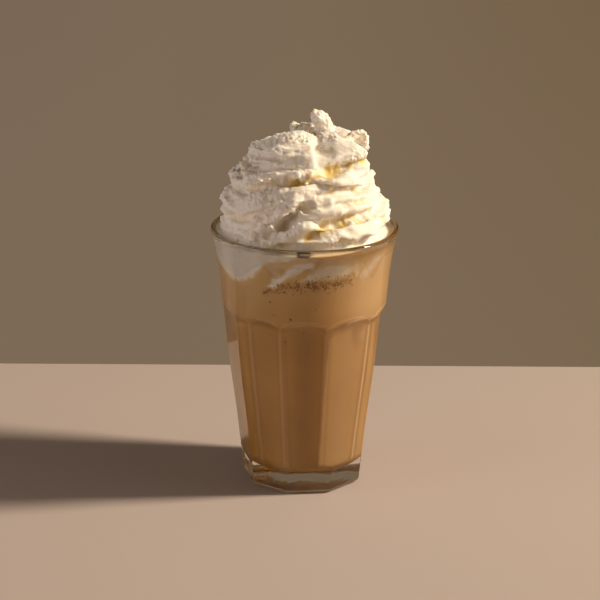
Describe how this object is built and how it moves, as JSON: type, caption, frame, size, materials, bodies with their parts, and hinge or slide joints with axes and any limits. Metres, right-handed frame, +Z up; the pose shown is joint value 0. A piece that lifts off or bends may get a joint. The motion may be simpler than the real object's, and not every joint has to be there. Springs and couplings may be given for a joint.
{
  "type": "iced coffee in a glass",
  "caption": "Tall panelled clear tumbler of milky iced coffee, filled to the rim and topped with a piped swirl of whipped cream that ends in a curled peak.",
  "frame": {"origin": "middle of the tumbler's foot, on the surface it stands on", "axes": "+Z up along the tumbler's axis; the side seen in the picture faces -Y"},
  "size_m": [0.088, 0.088, 0.1791],
  "materials": {
    "glass": "clear pressed glass, smooth and glossy",
    "coffee": "opaque milky coffee with fine bubbles near the top",
    "cream": "soft matt whipped cream with torn crests"
  },
  "bodies": {
    "root": {"glass": "glass", "coffee": "coffee", "cream": "cream"}
  },
  "joints": []
}
